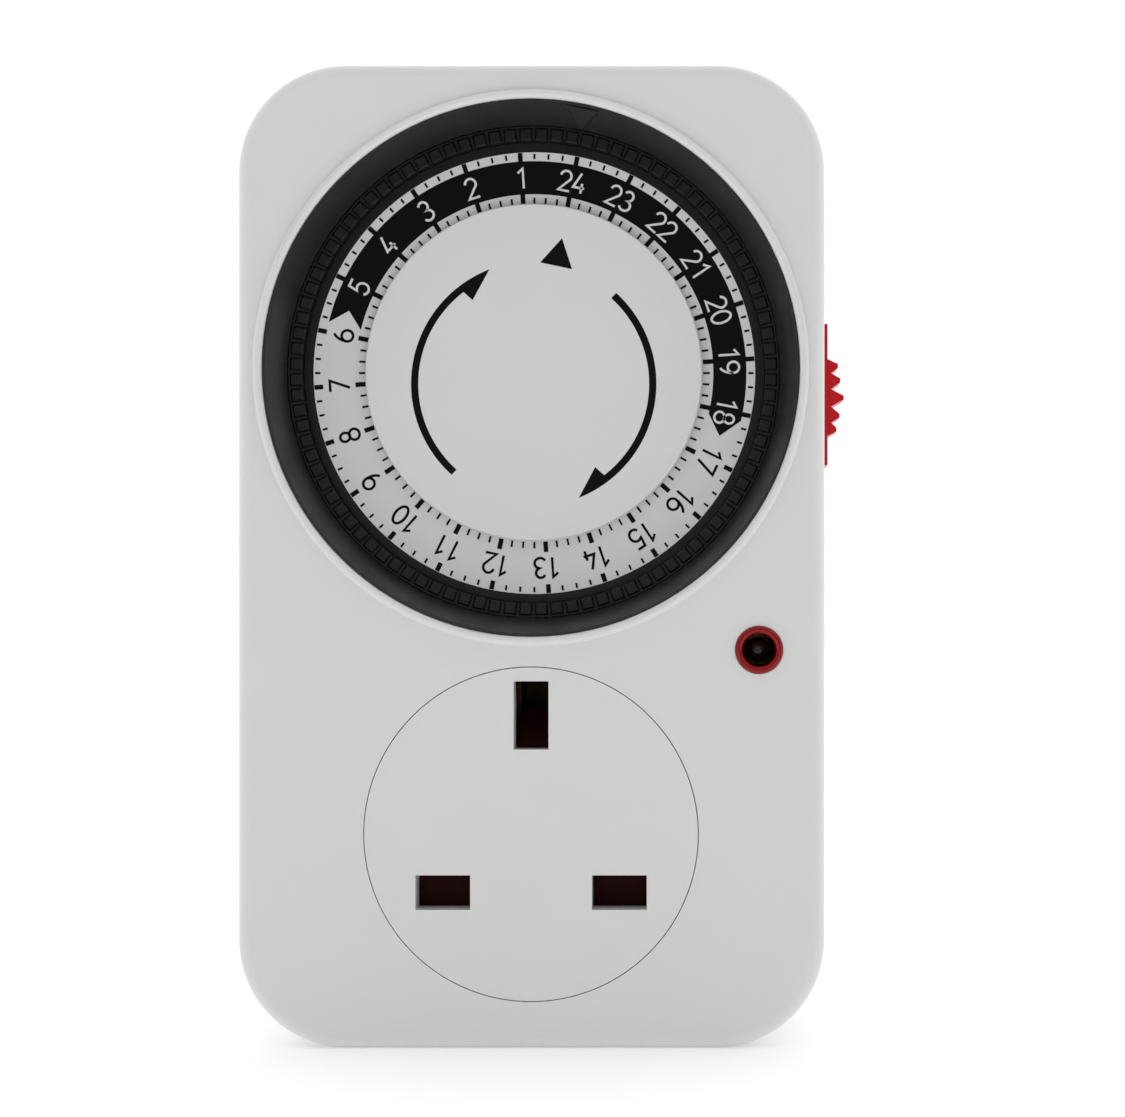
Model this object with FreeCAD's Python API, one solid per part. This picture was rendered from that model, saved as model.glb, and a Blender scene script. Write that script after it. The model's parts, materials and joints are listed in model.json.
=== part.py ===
"""24-hour plug-in programmable timer: a white case with a segment dial, a mains socket and a plug.

Frame, in millimetres: +X right, +Z up, the front faces -Y. The origin is the centre of the
bottom face, half way between the front and back faces of the case.
"""
import FreeCAD
import Part
import math
import os

from FreeCAD import Vector

# ---------------------------------------------------------------- driving dimensions
CASE_W = 74.0
CASE_H = 124.0
FRONT_Y = -21.0
BACK_Y = 21.0
SPLIT_Y = 3.0
CASE_R = 13.5
CASE_EDGE_R = 1.6
WALL = 2.0

DIAL_Z = 85.7
DIAL_OPENING_R = 33.85
RIM_OUTER_R = 35.0
RIM_PROUD = 0.9
BEZEL_INNER_R = 31.5
BEZEL_INNER_Y = -16.0
NOW_ANGLE = 11.25

TAPPETS = 96
TAPPET_GROUPS = 12
TAPPET_R_IN = 29.6
TAPPET_R_OUT = 31.1
TAPPET_WIDTH = 1.5
TAPPET_TOP_Y = -15.8
TAPPET_END_Y = -8.2
CARRIER_R_IN = 28.5
CARRIER_R_OUT = 31.4
CARRIER_FRONT_Y = -15.5
CARRIER_LIP_Y = -13.9
WEB_Y = (-13.2, -12.0)
CARRIER_BACK_Y = -8.0
SKIRT_R = 26.6
SLOT_GAP = 0.07
GEAR_BACK_Y = -9.2
SPIGOT_R = 1.5
SPIGOT_END_Y = -10.0

SCALE_R = 28.4
SCALE_BORE_R = 19.5
SCALE_T = 0.5
CENTRE_R = 21.6
CENTRE_FRONT_Y = -15.2
CENTRE_BACK_Y = -14.2

HUB_R = 4.0
RUN_FIT = 0.06
PLATE_FRONT_Y = -8.4
PLATE_BACK_Y = -7.2
PLATE_R = 26.3
PILLAR_R = 1.5
CHASSIS_FRONT_Y = 0.4
CHASSIS_BACK_Y = 1.8
CHASSIS_R = 32.0
CHASSIS_SIDE_X = 33.8
CHASSIS_SCREW_R = 1.0
CHASSIS_SCREWS = [(-26.0, -6.0), (22.0, -21.0), (-6.0, 27.0)]
PILLARS = [(0.0, -24.0), (-13.0, 20.0), (23.0, -8.4)]

# gear train: places are (x, z) from the dial's centre
RING_TEETH = 108
RING_MODULE = 0.45
OUT_TEETH = 12
CLUTCH_TEETH = 72
CLUTCH_PINION_TEETH = 12
CLUTCH_MODULE = 0.4
WHEEL_TEETH = 100
PINION_TEETH = 10
TRAIN_MODULE = 0.3
WHEEL_T = 1.0
LEVEL_PITCH = 1.5
LEVEL_1_Y = -7.1
ARBOR_R = 0.5
ARBOR_FIT = 0.05
OUT_SHAFT_R = 1.5
OUT_PIVOT_R = 1.0
DRIVER_ADD = 0.8
DRIVER_DED = 1.1
ARBOR_A = (-8.25, 0.0)
ARBOR_B = (8.25, 0.0)
ARBOR_M = (-8.25, -16.5)
BACKLASH = 0.10

MOTOR_R = 15.0
MOTOR_FRONT_Y = 1.8
MOTOR_BACK_Y = 11.4
MOTOR_POLES = 8
MOTOR_PLATE_T = 0.9
MAGNET_R = 5.4
CORE_R = 2.6
CLAW_R = (5.8, 6.6)
BOBBIN_R = (6.9, 7.7)
BOBBIN_FLANGE_R = 13.8
WINDING_R = 13.0

LEVER_X = (27.7, 31.5)
LEVER_PIVOT = (-3.4, 64.0)
LEVER_NOSE_Z = 84.5
LEVER_FRONT_Y = -4.2
LEVER_BACK_Y = -2.7
SLIDE_TRAVEL = 4.5
LEVER_SWING_DEG = 6.4
LEVER_PIN_R = 0.8
LEVER_EAR_Z = 82.0

SWITCH_X = (26.5, 32.7)
SWITCH_Y = (-1.0, 5.6)
SWITCH_Z = (70.2, 82.8)
PLUNGER_Z = 78.0
TERMINAL_INSET = 2.4
TERMINAL = (4.0, 0.8, 4.2)

SLIDER_Y = -6.0
SLIDER_PLATE_Z = (74.1, 92.5)
SLIDER_PLATE_W = 7.0
SLIDER_RECESS = 0.5
SLIDER_PROUD = 0.9
SLIDER_STEM_Z = (79.5, 84.1)
SLIDER_GRIP_Z = 82.95
KEEPER_Z = (75.0, 88.6)
CAM_Z = (76.6, 83.6)

NEON_X = 28.7
NEON_Z = 50.2
NEON_R = 3.0
NEON_WALL = 0.9
NEON_BULB_R = 1.6

SOCKET_Z = 27.0
SOCKET_R = 21.0
SOCKET_GAP = 0.12
LINE_X = 11.11
LINE_Z = 19.65
EARTH_Z = 41.95
LINE_HOLE = (6.9, 4.35)
EARTH_HOLE = (4.4, 8.6)
SOCKET_PLATE_T = 3.0
COLLAR_BACK_Y = -16.0
CONTACT_FRONT_Y = -9.0
SHUTTER_Y = (-15.9, -14.5)
SHUTTER_LOW_Z = 16.65
CARRIER_TRAY_Y = (2.4, 4.4)
CONTACT_BACK_Y = 2.0
LEAF_T = 0.7
LEAF_GAP = 3.8
STUD_R = 1.2

PIN_LINE_Z = 74.7
PIN_EARTH_Z = 97.0
PIN_LINE = (6.35, 4.0, 17.7)
PIN_EARTH = (4.0, 8.0, 22.7)
PIN_HEAD_Y = 14.3
PIN_NOSE = 0.8
SLEEVE_T = 0.4
SLEEVE_LEN = 9.5
STRAP_Y = 13.9
STRAP_T = 0.8
STRAP_W = 5.0
LOAD_STRAP_Y = 11.6
SWITCH_STRAP_X = (27.6, 31.6)

BOSS_X = 29.5
BOSS_Z = (7.2, 116.8)
BOSS_R = 3.6
SCREW_R = 1.5
SCREW_HEAD_R = 2.5
SCREW_WELL = 9.0
SCREW_HEAD_T = 2.2

Y_AXIS = Vector(0, 1, 0)
X_AXIS = Vector(1, 0, 0)
Z_AXIS = Vector(0, 0, 1)


# ---------------------------------------------------------------- helpers
def span_box(xs, ys, zs):
    """A box between two corners, each axis given as (low, high)."""
    return Part.makeBox(xs[1] - xs[0], ys[1] - ys[0], zs[1] - zs[0], Vector(xs[0], ys[0], zs[0]))


def mid_box(cx, cz, w, h, ys):
    """A box centred on (cx, cz), w wide and h high, between two depths."""
    return span_box((cx - w / 2, cx + w / 2), ys, (cz - h / 2, cz + h / 2))


def rod(r, ys, x=0.0, z=0.0):
    """A cylinder along Y between two depths."""
    return Part.makeCylinder(r, ys[1] - ys[0], Vector(x, ys[0], z), Y_AXIS)


def tube(r_out, r_in, ys, x=0.0, z=0.0):
    return rod(r_out, ys, x, z).cut(rod(r_in, ys, x, z))


def turned(points, x=0.0, z=DIAL_Z):
    """A ring turned about the Y axis through (x, z) from (radius, y) points."""
    corners = [Vector(x + r, y, z) for r, y in points]
    face = Part.Face(Part.makePolygon(corners + corners[:1]))
    return face.revolve(Vector(x, 0, z), Y_AXIS, 360)


def rounded_plate(w, h, r, ys, z_low=0.0):
    """A plate standing on z_low with four rounded corners."""
    x1, z1 = w / 2, z_low + h
    k = r * (1 - math.sqrt(0.5))
    y = ys[0]
    corner = [(x1 - r, z_low, x1 - k, z_low + k, x1, z_low + r),
              (x1, z1 - r, x1 - k, z1 - k, x1 - r, z1),
              (r - x1, z1, k - x1, z1 - k, -x1, z1 - r),
              (-x1, z_low + r, k - x1, z_low + k, r - x1, z_low)]
    edges = []
    for i, (ax, az, mx, mz, bx, bz) in enumerate(corner):
        edges.append(Part.Arc(Vector(ax, y, az), Vector(mx, y, mz), Vector(bx, y, bz)).toShape())
        nx, nz = corner[(i + 1) % 4][:2]
        edges.append(Part.makeLine(Vector(bx, y, bz), Vector(nx, y, nz)))
    return Part.Face(Part.Wire(edges)).extrude(Vector(0, ys[1] - ys[0], 0))


def edges_at(shape, y):
    """The edges that lie wholly in the plane at depth y."""
    return [e for e in shape.Edges if abs(e.BoundBox.YMin - y) < 1e-6 and abs(e.BoundBox.YMax - y) < 1e-6]


def spun(shape, degrees, x=0.0, z=DIAL_Z):
    """A copy turned clockwise, as seen from the front, about the Y axis through (x, z)."""
    copy = shape.copy()
    copy.rotate(Vector(x, 0, z), Y_AXIS, degrees)
    return copy


def at_dial(place):
    """The (x, z) of a place given from the dial's centre."""
    return place[0], DIAL_Z + place[1]


def prism(points, ys):
    """A prism along Y with straight sides from (x, z) points."""
    corners = [Vector(x, ys[0], z) for x, z in points]
    return Part.Face(Part.makePolygon(corners + corners[:1])).extrude(Vector(0, ys[1] - ys[0], 0))


def side_prism(points, xs):
    """A prism along X with straight sides from (y, z) points."""
    corners = [Vector(xs[0], y, z) for y, z in points]
    return Part.Face(Part.makePolygon(corners + corners[:1])).extrude(Vector(xs[1] - xs[0], 0, 0))


def involute_points(teeth, module, add, ded, sign):
    """Flank points (radius, half angle of the tooth) of an involute tooth of 20 degrees."""
    pitch_r = teeth * module / 2
    base_r = pitch_r * math.cos(math.radians(20))
    inv20 = math.tan(math.radians(20)) - math.radians(20)
    half = math.pi / (2 * teeth) - sign * BACKLASH / (4 * pitch_r)
    root_r = pitch_r - ded * module
    tip_r = pitch_r + add * module
    points = []
    for step in range(4):
        r = root_r + (tip_r - root_r) * step / 3
        grip = math.acos(min(1.0, base_r / r))
        points.append((r, half + inv20 - (math.tan(grip) - grip)))
    return points


def toothed_face(teeth, module, add, ded, sign, phase):
    """The outline of a gear round the Y axis; phase is the angle of one tooth's middle."""
    flank = involute_points(teeth, module, add, ded, sign)
    corners = []
    for n in range(teeth):
        middle = phase + 2 * math.pi * n / teeth
        for r, half in flank:
            corners.append((r, middle - half))
        for r, half in reversed(flank):
            corners.append((r, middle + half))
    wire = [Vector(r * math.sin(a), 0, r * math.cos(a)) for r, a in corners]
    return Part.Face(Part.makePolygon(wire + wire[:1]))


def gear(teeth, module, ys, place, phase=0.0, add=0.6, ded=1.25):
    """An external spur gear; phase is clockwise from the top, in radians."""
    x, z = at_dial(place)
    face = toothed_face(teeth, module, add, ded, 1, phase)
    face.translate(Vector(x, ys[0], z))
    return face.extrude(Vector(0, ys[1] - ys[0], 0))


def heading(start, end):
    """The clockwise angle from the top of the line from one place to another."""
    return math.atan2(end[0] - start[0], end[1] - start[1])


def mesh_phase(teeth, own, other):
    """The phase that puts a gap of the gear at own on the line to other."""
    return heading(own, other) + math.pi / teeth


def coil_spring(r, wire_r, length, turns, start, direction):
    """A compression spring of round wire with its axis along direction."""
    helix = Part.makeHelix((length - 2 * wire_r) / turns, length - 2 * wire_r, r)
    section = Part.Wire(Part.Circle(Vector(r, 0, 0), Vector(0, 1, 0), wire_r).toShape())
    spring = Part.Wire(helix.Edges).makePipeShell([section], True, True)
    spring.translate(Vector(0, 0, wire_r))
    place = FreeCAD.Placement(start, FreeCAD.Rotation(Z_AXIS, direction))
    spring.Placement = place.multiply(spring.Placement)
    return spring


def strip(path, width, thickness, x):
    """A flat busbar bent in the YZ plane: boxes along (y, z) points, width along X."""
    shape = None
    half = thickness / 2
    for (y0, z0), (y1, z1) in zip(path, path[1:]):
        ys = (min(y0, y1) - half, max(y0, y1) + half)
        zs = (min(z0, z1) - half, max(z0, z1) + half)
        piece = span_box((x - width / 2, x + width / 2), ys, zs)
        shape = piece if shape is None else shape.fuse(piece)
    return shape.removeSplitter()


# ---------------------------------------------------------------- case
def case_screw_places():
    return [(side * BOSS_X, z) for side in (-1, 1) for z in BOSS_Z]


def front_case():
    """The front shell: dial opening with a rounded rim, socket opening, neon hole and slider slot."""
    outer = rounded_plate(CASE_W, CASE_H, CASE_R, (FRONT_Y, SPLIT_Y))
    outer = outer.makeFillet(CASE_EDGE_R, edges_at(outer, FRONT_Y))
    inner = rounded_plate(CASE_W - 2 * WALL, CASE_H - 2 * WALL, CASE_R - WALL,
                          (FRONT_Y + WALL, SPLIT_Y + 1), WALL)
    shell = outer.cut(inner)
    mid_r = (DIAL_OPENING_R + RIM_OUTER_R) / 2
    half = (RIM_OUTER_R - DIAL_OPENING_R) / 2
    rim = turned([(DIAL_OPENING_R, FRONT_Y + 0.5), (DIAL_OPENING_R, FRONT_Y - RIM_PROUD + half),
                  (RIM_OUTER_R, FRONT_Y - RIM_PROUD + half), (RIM_OUTER_R, FRONT_Y + 0.5)])
    bead = Part.makeTorus(mid_r, half, Vector(0, FRONT_Y - RIM_PROUD + half, DIAL_Z), Y_AXIS)
    shell = shell.fuse(rim).fuse(bead)
    shell = shell.cut(rod(DIAL_OPENING_R, (FRONT_Y - 2, FRONT_Y + WALL + 1), 0, DIAL_Z))
    shell = shell.cut(rod(SOCKET_R + SOCKET_GAP, (FRONT_Y - 1, FRONT_Y + WALL + 1), 0, SOCKET_Z))
    neon_fit = 0.05
    shell = shell.cut(rod(NEON_R + neon_fit, (FRONT_Y - 1, FRONT_Y + WALL + 1), NEON_X, NEON_Z))
    screw_end_y = FRONT_Y + 8
    for x, z in case_screw_places():
        boss = rod(BOSS_R, (FRONT_Y + WALL, SPLIT_Y), x, z)
        shell = shell.fuse(boss).cut(rod(SCREW_R, (screw_end_y, SPLIT_Y), x, z))
    side = CASE_W / 2
    end_gap = 0.3
    side_gap = 0.2
    recess_z = (SLIDER_PLATE_Z[0] - end_gap, SLIDER_PLATE_Z[1] + SLIDE_TRAVEL + end_gap)
    half_w = SLIDER_PLATE_W / 2 + side_gap
    shell = shell.cut(span_box((side - SLIDER_RECESS, side + 1),
                               (SLIDER_Y - half_w, SLIDER_Y + half_w), recess_z))
    shell = shell.cut(span_box((side - WALL - 1, side),
                               (SLIDER_Y - 1.6, SLIDER_Y + 1.6),
                               (SLIDER_STEM_Z[0] - side_gap, SLIDER_STEM_Z[1] + SLIDE_TRAVEL + side_gap)))
    return shell


def rear_case():
    """The rear shell: pin holes, screw wells and the posts that carry the movement."""
    outer = rounded_plate(CASE_W, CASE_H, CASE_R, (SPLIT_Y, BACK_Y))
    outer = outer.makeFillet(CASE_EDGE_R, edges_at(outer, BACK_Y))
    inner = rounded_plate(CASE_W - 2 * WALL, CASE_H - 2 * WALL, CASE_R - WALL,
                          (SPLIT_Y - 1, BACK_Y - WALL), WALL)
    shell = outer.cut(inner)
    seam = 0.4
    seam_y = (SPLIT_Y, SPLIT_Y + 0.5)
    outside = rounded_plate(CASE_W + 2, CASE_H + 2, CASE_R + 1, seam_y, -1.0)
    keep = rounded_plate(CASE_W - 2 * seam, CASE_H - 2 * seam, CASE_R - seam, seam_y, seam)
    shell = shell.cut(outside.cut(keep))
    for x, z in case_screw_places():
        shell = shell.fuse(rod(BOSS_R, (SPLIT_Y, BACK_Y - WALL), x, z))
        shell = shell.cut(rod(SCREW_R + 0.2, (SPLIT_Y, BACK_Y), x, z))
        shell = shell.cut(rod(SCREW_HEAD_R + 0.2, (BACK_Y - SCREW_WELL, BACK_Y + 1), x, z))
    for place in CHASSIS_SCREWS:
        x, z = at_dial(place)
        shell = shell.fuse(rod(CHASSIS_SCREW_R + 1.4, (CHASSIS_BACK_Y, BACK_Y - WALL), x, z))
        shell = shell.cut(rod(CHASSIS_SCREW_R, (CHASSIS_BACK_Y, CHASSIS_BACK_Y + 8), x, z))
    for x, z, w, h in pin_sections():
        shell = shell.cut(mid_box(x, z, w, h, (BACK_Y - WALL - 1, BACK_Y + 1)))
    return shell


def case_screws():
    """Four screws from the back into the front shell's bosses."""
    group = []
    head_y = BACK_Y - SCREW_WELL
    top_y = head_y + SCREW_HEAD_T
    cross_y = (top_y - 0.8, top_y + 0.8)
    for x, z in case_screw_places():
        head = rod(SCREW_HEAD_R, (head_y, top_y), x, z)
        slot = mid_box(x, z, 3.2, 0.7, cross_y)
        cross = mid_box(x, z, 0.7, 3.2, cross_y)
        shank = rod(SCREW_R, (FRONT_Y + 9, head_y), x, z)
        group.append(head.fuse(shank).cut(slot).cut(cross))
    return Part.makeCompound(group)


# ---------------------------------------------------------------- dial
def dial_bezel():
    """The fixed black funnel round the dial, with a small raised pointer at the present time."""
    out_r = DIAL_OPENING_R - 0.08
    lip_y = FRONT_Y - 0.3
    mouth_r = out_r - 0.35
    back_y = BEZEL_INNER_Y + 1.2
    flange_r = CASE_W / 2 - WALL - 0.4
    funnel = turned([(out_r, lip_y), (mouth_r, lip_y), (BEZEL_INNER_R, BEZEL_INNER_Y),
                     (BEZEL_INNER_R, back_y), (flange_r, back_y),
                     (flange_r, FRONT_Y + WALL), (out_r, FRONT_Y + WALL)])
    rise = 0.37
    short = 0.6
    slope = (mouth_r - BEZEL_INNER_R) / (BEZEL_INNER_Y - lip_y)
    low_y = BEZEL_INNER_Y - short
    low_r = BEZEL_INNER_R + short * slope - rise
    base_z = DIAL_Z + mouth_r - 0.2
    half_w = 2.1
    relief = turned([(mouth_r - rise, lip_y), (low_r, low_y), (low_r + 0.8, low_y), (mouth_r + 0.3, lip_y)])
    pointer = prism([(-half_w, base_z), (0.0, DIAL_Z + low_r), (half_w, base_z)], (lip_y - 1, BEZEL_INNER_Y))
    return funnel.fuse(spun(pointer, NOW_ANGLE).common(relief))


def dial_carrier():
    """The black drum that turns once a day: slotted ring, web, bearing bore and internal ring gear."""
    hub_bore = HUB_R + RUN_FIT
    ring = tube(CARRIER_R_OUT, CARRIER_R_IN, (CARRIER_LIP_Y, CARRIER_BACK_Y), 0, DIAL_Z)
    ring = ring.fuse(tube(CARRIER_R_OUT, TAPPET_R_IN, (CARRIER_FRONT_Y, CARRIER_LIP_Y), 0, DIAL_Z))
    web = tube(CARRIER_R_IN + 0.2, hub_bore, WEB_Y, 0, DIAL_Z)
    skirt_y = (WEB_Y[1], GEAR_BACK_Y)
    bearing = tube(hub_bore + 2.0, hub_bore, skirt_y, 0, DIAL_Z)
    space = toothed_face(RING_TEETH, RING_MODULE, 1.2, 0.6, -1, ring_phase())
    space.translate(Vector(0, skirt_y[0] - 0.1, DIAL_Z))
    space = space.extrude(Vector(0, skirt_y[1] - skirt_y[0] + 0.2, 0))
    skirt = rod(SKIRT_R, skirt_y, 0, DIAL_Z).cut(space)
    drum = ring.fuse(web).fuse(bearing).fuse(skirt)
    slot = mid_box(0, DIAL_Z + (TAPPET_R_IN + TAPPET_R_OUT) / 2, TAPPET_WIDTH + 2 * SLOT_GAP,
                   TAPPET_R_OUT - TAPPET_R_IN + 2 * SLOT_GAP, (CARRIER_FRONT_Y - 1, CARRIER_BACK_Y + 1))
    slots = [spun(slot, tappet_angle(n)) for n in range(TAPPETS)]
    return drum.cut(Part.makeCompound(slots))


def ring_phase():
    """A space of the ring gear stands on the line to the output pinion."""
    return heading((0, 0), OUTPUT)


def tappet_angle(index):
    """Tappets stand half way between the printed quarter-hour marks."""
    return 360.0 * (index + 0.5) / TAPPETS + NOW_ANGLE


def tappet_group(number):
    """Eight quarter-hour tappets, one solid each, that are pushed in along Y."""
    bar = mid_box(0, DIAL_Z + (TAPPET_R_IN + TAPPET_R_OUT) / 2, TAPPET_WIDTH,
                  TAPPET_R_OUT - TAPPET_R_IN, (TAPPET_TOP_Y, TAPPET_END_Y))
    bar = bar.makeChamfer(0.15, edges_at(bar, TAPPET_TOP_Y))
    per_group = TAPPETS // TAPPET_GROUPS
    first = number * per_group
    return Part.makeCompound([spun(bar, tappet_angle(first + n)) for n in range(per_group)])


def scale_disc():
    """The printed hour ring that turns with the drum."""
    return tube(SCALE_R, SCALE_BORE_R, (WEB_Y[0] - SCALE_T, WEB_Y[0]), 0, DIAL_Z)


def centre_disc():
    """The fixed middle disc, held in the hub by its spigot."""
    disc = rod(CENTRE_R, (CENTRE_FRONT_Y, CENTRE_BACK_Y), 0, DIAL_Z)
    disc = disc.makeFillet(0.25, edges_at(disc, CENTRE_FRONT_Y))
    return disc.fuse(rod(SPIGOT_R, (CENTRE_BACK_Y, SPIGOT_END_Y), 0, DIAL_Z))


# ---------------------------------------------------------------- movement
def output_place():
    """The output pinion's place: inside the ring gear and in mesh with arbor B's pinion."""
    reach = (RING_TEETH - OUT_TEETH) * RING_MODULE / 2
    span = (CLUTCH_TEETH + CLUTCH_PINION_TEETH) * CLUTCH_MODULE / 2
    along = (reach ** 2 + ARBOR_B[0] ** 2 - span ** 2) / (2 * ARBOR_B[0])
    return along, math.sqrt(reach ** 2 - along ** 2)


OUTPUT = output_place()


def level(number):
    """The depths of the wheel at a level of the train, counted from the front."""
    low = LEVEL_1_Y + (number - 1) * LEVEL_PITCH
    return low, low + WHEEL_T


def compound_gear(number, place, driver, driven, pinion_teeth=PINION_TEETH, module=TRAIN_MODULE):
    """A wheel at its level with a pinion behind it that reaches across the next level."""
    ys = level(number)
    x, z = at_dial(place)
    wheel = gear(WHEEL_TEETH, TRAIN_MODULE, ys, place, mesh_phase(WHEEL_TEETH, place, driver))
    pinion = gear(pinion_teeth, module, (ys[1], ys[1] + LEVEL_PITCH), place,
                  heading(place, driven), DRIVER_ADD, DRIVER_DED)
    return wheel.fuse(pinion).cut(rod(ARBOR_R + ARBOR_FIT, (ys[0] - 1, ys[1] + LEVEL_PITCH + 1), x, z))


def movement_plate():
    """The front plate of the movement with the dial's hub and three pillars."""
    plate = rod(PLATE_R, (PLATE_FRONT_Y, PLATE_BACK_Y), 0, DIAL_Z)
    hub = rod(HUB_R, (CENTRE_BACK_Y, PLATE_FRONT_Y), 0, DIAL_Z)
    shape = plate.fuse(hub).cut(rod(SPIGOT_R, (CENTRE_BACK_Y, SPIGOT_END_Y + 0.4), 0, DIAL_Z))
    for place in PILLARS:
        x, z = at_dial(place)
        shape = shape.fuse(rod(PILLAR_R, (PLATE_BACK_Y, CHASSIS_FRONT_Y), x, z))
    for place in (ARBOR_A, ARBOR_B, ARBOR_M):
        x, z = at_dial(place)
        shape = shape.cut(rod(ARBOR_R, (PLATE_FRONT_Y, PLATE_BACK_Y), x, z))
    x, z = at_dial(OUTPUT)
    return shape.cut(rod(OUT_SHAFT_R + RUN_FIT, (PLATE_FRONT_Y, PLATE_BACK_Y), x, z))


def chassis():
    """The rear plate of the movement: it carries the arbors, the motor, the lever and the switch."""
    ys = (CHASSIS_FRONT_Y, CHASSIS_BACK_Y)
    disc = rod(CHASSIS_R, ys, 0, DIAL_Z).common(span_box((-CASE_W, CHASSIS_SIDE_X), ys, (0, CASE_H)))
    shape = disc.fuse(span_box((18.0, CHASSIS_SIDE_X), ys, (60.0, 85.0)))
    y, z = LEVER_PIVOT
    for xs in [(26.0, LEVER_X[0] - 0.3), (LEVER_X[1] + 0.3, 33.2)]:
        foot, top = 2.6, 1.6
        ear = side_prism([(CHASSIS_FRONT_Y, z - foot), (y - top, z - top), (y - top, z + top),
                          (CHASSIS_FRONT_Y, z + foot)], xs)
        shape = shape.fuse(ear)
    shape = shape.cut(Part.makeCylinder(LEVER_PIN_R, 10, Vector(25.0, y, z), X_AXIS))
    shape = shape.cut(span_box((SWITCH_X[0], SWITCH_X[1]), ys, SWITCH_Z))
    for place in (ARBOR_A, ARBOR_B):
        x, z = at_dial(place)
        shape = shape.cut(rod(ARBOR_R, ys, x, z))
    x, z = at_dial(ARBOR_M)
    shape = shape.cut(rod(1.4, ys, x, z))
    x, z = at_dial(OUTPUT)
    shape = shape.cut(rod(OUT_PIVOT_R + RUN_FIT, ys, x, z))
    for place in CHASSIS_SCREWS:
        x, z = at_dial(place)
        shape = shape.cut(rod(CHASSIS_SCREW_R + 0.2, ys, x, z))
    return shape


def chassis_screws():
    group = []
    for place in CHASSIS_SCREWS:
        x, z = at_dial(place)
        head = rod(2 * CHASSIS_SCREW_R, (CHASSIS_FRONT_Y - 0.9, CHASSIS_FRONT_Y), x, z)
        group.append(head.fuse(rod(CHASSIS_SCREW_R, (CHASSIS_FRONT_Y, CHASSIS_BACK_Y + 7), x, z)))
    return Part.makeCompound(group)


def steel_arbors():
    """Three arbors that the train and the rotor turn on, and the lever's pivot pin."""
    group = [Part.makeCylinder(LEVER_PIN_R, 7.0, Vector(26.1, LEVER_PIVOT[0], LEVER_PIVOT[1]), X_AXIS)]
    for place, end in ((ARBOR_A, CHASSIS_BACK_Y), (ARBOR_B, CHASSIS_BACK_Y), (ARBOR_M, MOTOR_BACK_Y - 0.1)):
        x, z = at_dial(place)
        group.append(rod(ARBOR_R, (PLATE_FRONT_Y, end), x, z))
    return Part.makeCompound(group)


def output_pinion():
    """The shaft with the pinion that drives the dial; the clutch wheel sits on it."""
    x, z = at_dial(OUTPUT)
    ys = (WEB_Y[1] + 0.3, GEAR_BACK_Y - 0.1)
    shoulder_y = CHASSIS_FRONT_Y - 0.1
    teeth = gear(OUT_TEETH, RING_MODULE, ys, OUTPUT, heading((0, 0), OUTPUT), DRIVER_ADD, DRIVER_DED)
    shaft = rod(OUT_SHAFT_R, (ys[1], shoulder_y), x, z)
    pivot = rod(OUT_PIVOT_R, (shoulder_y, CHASSIS_BACK_Y), x, z)
    return teeth.fuse(shaft).fuse(pivot)


def clutch_wheel():
    """The last wheel of the train, free on the output shaft so the dial can be set by hand."""
    x, z = at_dial(OUTPUT)
    ys = level(5)
    wheel = gear(CLUTCH_TEETH, CLUTCH_MODULE, ys, OUTPUT, mesh_phase(CLUTCH_TEETH, OUTPUT, ARBOR_B))
    return wheel.cut(rod(OUT_SHAFT_R + RUN_FIT, (ys[0] - 1, ys[1] + 1), x, z))


def clutch_washer():
    """The sprung washer on the output shaft that presses on the clutch wheel."""
    x, z = at_dial(OUTPUT)
    r_out = 3.6
    return turned([(OUT_SHAFT_R, -1.5), (r_out, -1.25), (r_out, -1.15), (OUT_SHAFT_R, -1.3)], x, z)


# ---------------------------------------------------------------- motor
def rotor_hub():
    """The rotor's plastic sleeve with the first pinion at its front end."""
    x, z = at_dial(ARBOR_M)
    first = level(1)
    core_y = (MOTOR_FRONT_Y + 0.6, MOTOR_BACK_Y - 1.0)
    facing = heading(ARBOR_M, ARBOR_A)
    pinion = gear(PINION_TEETH, TRAIN_MODULE, first, ARBOR_M, facing, DRIVER_ADD, DRIVER_DED)
    sleeve = rod(1.1, (first[1], core_y[0]), x, z)
    core = rod(CORE_R, core_y, x, z)
    return pinion.fuse(sleeve).fuse(core).cut(rod(ARBOR_R + ARBOR_FIT, (first[0] - 1, MOTOR_BACK_Y), x, z))


def rotor_magnet():
    """The ring magnet of the synchronous rotor."""
    x, z = at_dial(ARBOR_M)
    return tube(MAGNET_R, CORE_R, (MOTOR_FRONT_Y + MOTOR_PLATE_T, MOTOR_BACK_Y - 1.3), x, z)


def claws(ys, turn):
    """Eight tapered claw poles round the rotor."""
    x, z = at_dial(ARBOR_M)
    ring = tube(CLAW_R[1], CLAW_R[0], ys, x, z)
    group = []
    for n in range(MOTOR_POLES):
        sector = prism([(x, z), (x - 1.5, z + 9), (x + 1.5, z + 9)], ys)
        group.append(spun(sector, 360.0 * n / MOTOR_POLES + turn, x, z))
    return ring.common(Part.makeCompound(group))


def motor_cup():
    """The stator cup, open to the front, with its half of the claws."""
    x, z = at_dial(ARBOR_M)
    sheet = 0.8
    cup = rod(MOTOR_R, (MOTOR_FRONT_Y + MOTOR_PLATE_T, MOTOR_BACK_Y), x, z)
    cup = cup.cut(rod(MOTOR_R - sheet, (MOTOR_FRONT_Y, MOTOR_BACK_Y - sheet), x, z))
    cup = cup.cut(rod(ARBOR_R, (MOTOR_BACK_Y - 1, MOTOR_BACK_Y), x, z))
    return cup.fuse(claws((MOTOR_FRONT_Y + 2.2, MOTOR_BACK_Y - 0.7), 0))


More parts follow.
